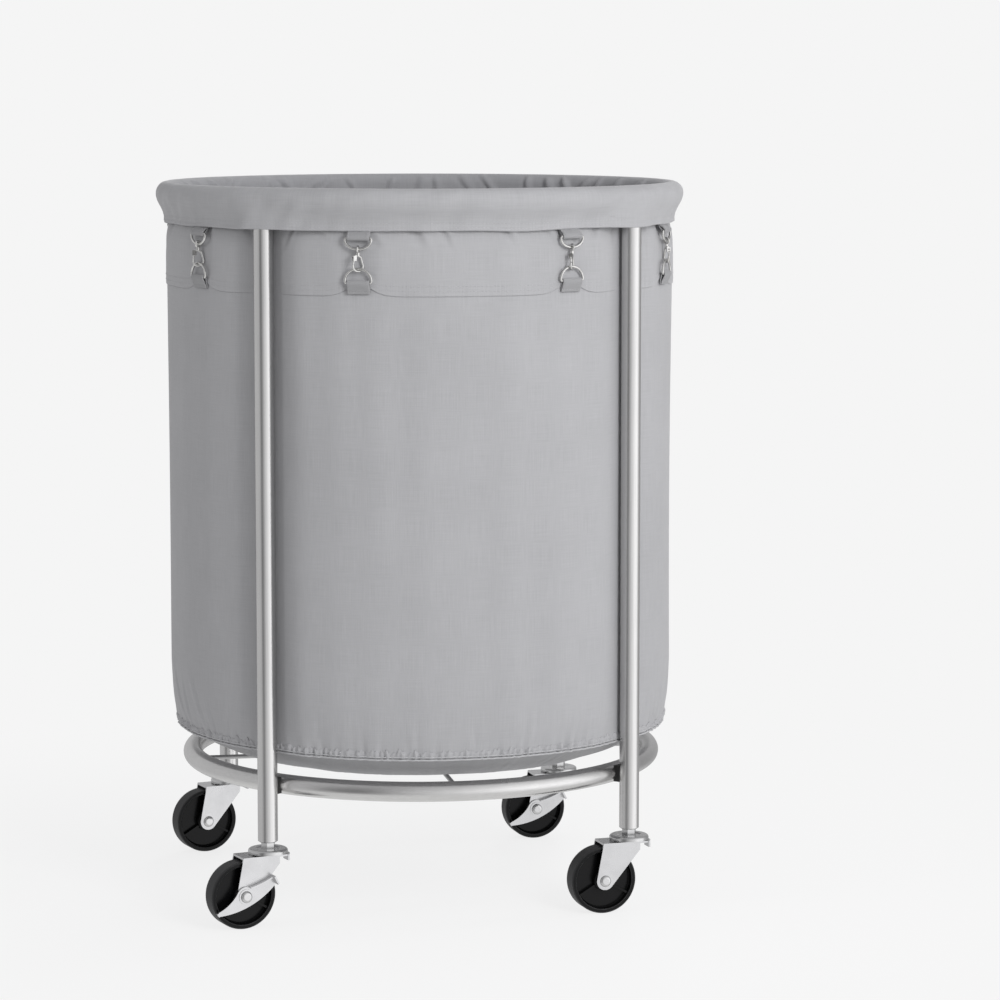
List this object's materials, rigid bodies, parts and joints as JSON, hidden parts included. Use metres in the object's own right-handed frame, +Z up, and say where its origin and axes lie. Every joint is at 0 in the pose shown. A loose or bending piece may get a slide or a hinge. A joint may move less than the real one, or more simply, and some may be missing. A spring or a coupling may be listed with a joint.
{
  "type": "laundry hamper",
  "caption": "Round rolling laundry hamper: a removable fabric bag folded over the top ring of a steel tube frame, on swivel casters with brake levers.",
  "frame": {"origin": "on the floor under the middle of the hamper", "axes": "+Z up, the front at -Y, +X to the right; the legs stand on the diagonals"},
  "size_m": [0.6, 0.6, 0.81],
  "materials": {
    "satin_steel": "satin",
    "zinc_steel": "bright zinc",
    "nickel_wire": "bright nickel",
    "wheel_black": "semi-gloss",
    "black_plastic": "matte",
    "white_plastic": "matte",
    "grey_canvas": "woven, matte",
    "grey_webbing": "woven webbing"
  },
  "bodies": {
    "root": {"top_ring": "satin_steel", "bottom_ring": "satin_steel", "leg_front_left": "satin_steel", "leg_front_right": "satin_steel", "leg_rear_left": "satin_steel", "leg_rear_right": "satin_steel", "base_rod_lower": "satin_steel", "base_rod_upper": "satin_steel", "leg_top_plugs": "zinc_steel", "leg_bottom_plugs": "zinc_steel", "top_ring_nuts": "zinc_steel", "leg_rivet_nuts": "zinc_steel", "ring_bolts": "zinc_steel", "swivel_balls": "zinc_steel", "ring_spacers": "black_plastic", "stem_front_left": "zinc_steel", "swivel_disc_front_left": "zinc_steel", "stem_front_right": "zinc_steel", "swivel_disc_front_right": "zinc_steel", "stem_rear_left": "zinc_steel", "swivel_disc_rear_left": "zinc_steel", "stem_rear_right": "zinc_steel", "swivel_disc_rear_right": "zinc_steel", "bag_wall": "grey_canvas", "bag_base": "grey_canvas", "bag_flap": "grey_canvas", "bag_tabs_upper": "grey_webbing", "bag_tabs_lower": "grey_webbing", "d_rings_upper": "nickel_wire", "d_rings_lower": "nickel_wire", "snap_hooks": "nickel_wire"},
    "swivel_body_front_left": {"fork_front_left": "zinc_steel", "axle_front_left": "zinc_steel"},
    "wheel_body_front_left": {"wheel_front_left": "wheel_black", "bushing_front_left": "white_plastic"},
    "lever_body_front_left": {"brake_lever_front_left": "zinc_steel"},
    "swivel_body_front_right": {"fork_front_right": "zinc_steel", "axle_front_right": "zinc_steel"},
    "wheel_body_front_right": {"wheel_front_right": "wheel_black", "bushing_front_right": "white_plastic"},
    "swivel_body_rear_left": {"fork_rear_left": "zinc_steel", "axle_rear_left": "zinc_steel"},
    "wheel_body_rear_left": {"wheel_rear_left": "wheel_black", "bushing_rear_left": "white_plastic"},
    "swivel_body_rear_right": {"fork_rear_right": "zinc_steel", "axle_rear_right": "zinc_steel"},
    "wheel_body_rear_right": {"wheel_rear_right": "wheel_black", "bushing_rear_right": "white_plastic"},
    "lever_body_rear_right": {"brake_lever_rear_right": "zinc_steel"},
    "gate_body_1": {"hook_gate_1": "nickel_wire"},
    "gate_body_2": {"hook_gate_2": "nickel_wire"},
    "gate_body_3": {"hook_gate_3": "nickel_wire"},
    "gate_body_4": {"hook_gate_4": "nickel_wire"},
    "gate_body_5": {"hook_gate_5": "nickel_wire"},
    "gate_body_6": {"hook_gate_6": "nickel_wire"},
    "gate_body_7": {"hook_gate_7": "nickel_wire"},
    "gate_body_8": {"hook_gate_8": "nickel_wire"}
  },
  "joints": [
    {"name": "swivel_front_left", "type": "hinge", "parent": "root", "child": "swivel_body_front_left", "pos_m": [-0.20294, -0.20294, 0.08], "axis": [0, 0, 1], "continuous": true},
    {"name": "roll_front_left", "type": "hinge", "parent": "swivel_body_front_left", "child": "wheel_body_front_left", "pos_m": [-0.23466, -0.21204, 0.0375], "axis": [0.2756, -0.9613, 0], "continuous": true},
    {"name": "brake_front_left", "type": "hinge", "parent": "swivel_body_front_left", "child": "lever_body_front_left", "pos_m": [-0.23466, -0.21204, 0.0375], "axis": [-0.2756, 0.9613, 0], "range_deg": [0, 30]},
    {"name": "swivel_front_right", "type": "hinge", "parent": "root", "child": "swivel_body_front_right", "pos_m": [0.20294, -0.20294, 0.08], "axis": [0, 0, 1], "continuous": true},
    {"name": "roll_front_right", "type": "hinge", "parent": "swivel_body_front_right", "child": "wheel_body_front_right", "pos_m": [0.17026, -0.20753, 0.0375], "axis": [0.1392, -0.9903, 0], "continuous": true},
    {"name": "swivel_rear_left", "type": "hinge", "parent": "root", "child": "swivel_body_rear_left", "pos_m": [-0.20294, 0.20294, 0.08], "axis": [0, 0, 1], "continuous": true},
    {"name": "roll_rear_left", "type": "hinge", "parent": "swivel_body_rear_left", "child": "wheel_body_rear_left", "pos_m": [-0.23466, 0.19384, 0.0375], "axis": [0.2756, -0.9613, 0], "continuous": true},
    {"name": "swivel_rear_right", "type": "hinge", "parent": "root", "child": "swivel_body_rear_right", "pos_m": [0.20294, 0.20294, 0.08], "axis": [0, 0, 1], "continuous": true},
    {"name": "roll_rear_right", "type": "hinge", "parent": "swivel_body_rear_right", "child": "wheel_body_rear_right", "pos_m": [0.17012, 0.19949, 0.0375], "axis": [0.1045, -0.9945, 0], "continuous": true},
    {"name": "brake_rear_right", "type": "hinge", "parent": "swivel_body_rear_right", "child": "lever_body_rear_right", "pos_m": [0.17012, 0.19949, 0.0375], "axis": [-0.1045, 0.9945, 0], "range_deg": [0, 30]},
    {"name": "gate_1", "type": "hinge", "parent": "root", "child": "gate_body_1", "pos_m": [0.27467, 0.11023, 0.7352], "axis": [0.4305, 0.9026, 0], "range_deg": [0, 25], "stiffness_Nm_per_rad": 0.002, "springref_deg": -11.46},
    {"name": "gate_2", "type": "hinge", "parent": "root", "child": "gate_body_2", "pos_m": [0.11627, 0.27217, 0.7352], "axis": [-0.3338, 0.9426, 0], "range_deg": [0, 25], "stiffness_Nm_per_rad": 0.002, "springref_deg": -11.46},
    {"name": "gate_3", "type": "hinge", "parent": "root", "child": "gate_body_3", "pos_m": [-0.11023, 0.27467, 0.7352], "axis": [-0.9026, 0.4305, 0], "range_deg": [0, 25], "stiffness_Nm_per_rad": 0.002, "springref_deg": -11.46},
    {"name": "gate_4", "type": "hinge", "parent": "root", "child": "gate_body_4", "pos_m": [-0.27512, 0.10911, 0.7352], "axis": [-0.9336, -0.3584, 0], "range_deg": [0, 25], "stiffness_Nm_per_rad": 0.002, "springref_deg": -11.46},
    {"name": "gate_5", "type": "hinge", "parent": "root", "child": "gate_body_5", "pos_m": [-0.2696, -0.12211, 0.7352], "axis": [-0.3907, -0.9205, 0], "range_deg": [0, 25], "stiffness_Nm_per_rad": 0.002, "springref_deg": -11.46},
    {"name": "gate_6", "type": "hinge", "parent": "root", "child": "gate_body_6", "pos_m": [-0.11389, -0.27317, 0.7352], "axis": [0.342, -0.9397, 0], "range_deg": [0, 25], "stiffness_Nm_per_rad": 0.002, "springref_deg": -11.46},
    {"name": "gate_7", "type": "hinge", "parent": "root", "child": "gate_body_7", "pos_m": [0.12211, -0.2696, 0.7352], "axis": [0.9205, -0.3907, 0], "range_deg": [0, 25], "stiffness_Nm_per_rad": 0.002, "springref_deg": -11.46},
    {"name": "gate_8", "type": "hinge", "parent": "root", "child": "gate_body_8", "pos_m": [0.25725, -0.14634, 0.7352], "axis": [0.9744, 0.225, 0], "range_deg": [0, 25], "stiffness_Nm_per_rad": 0.002, "springref_deg": -11.46}
  ]
}
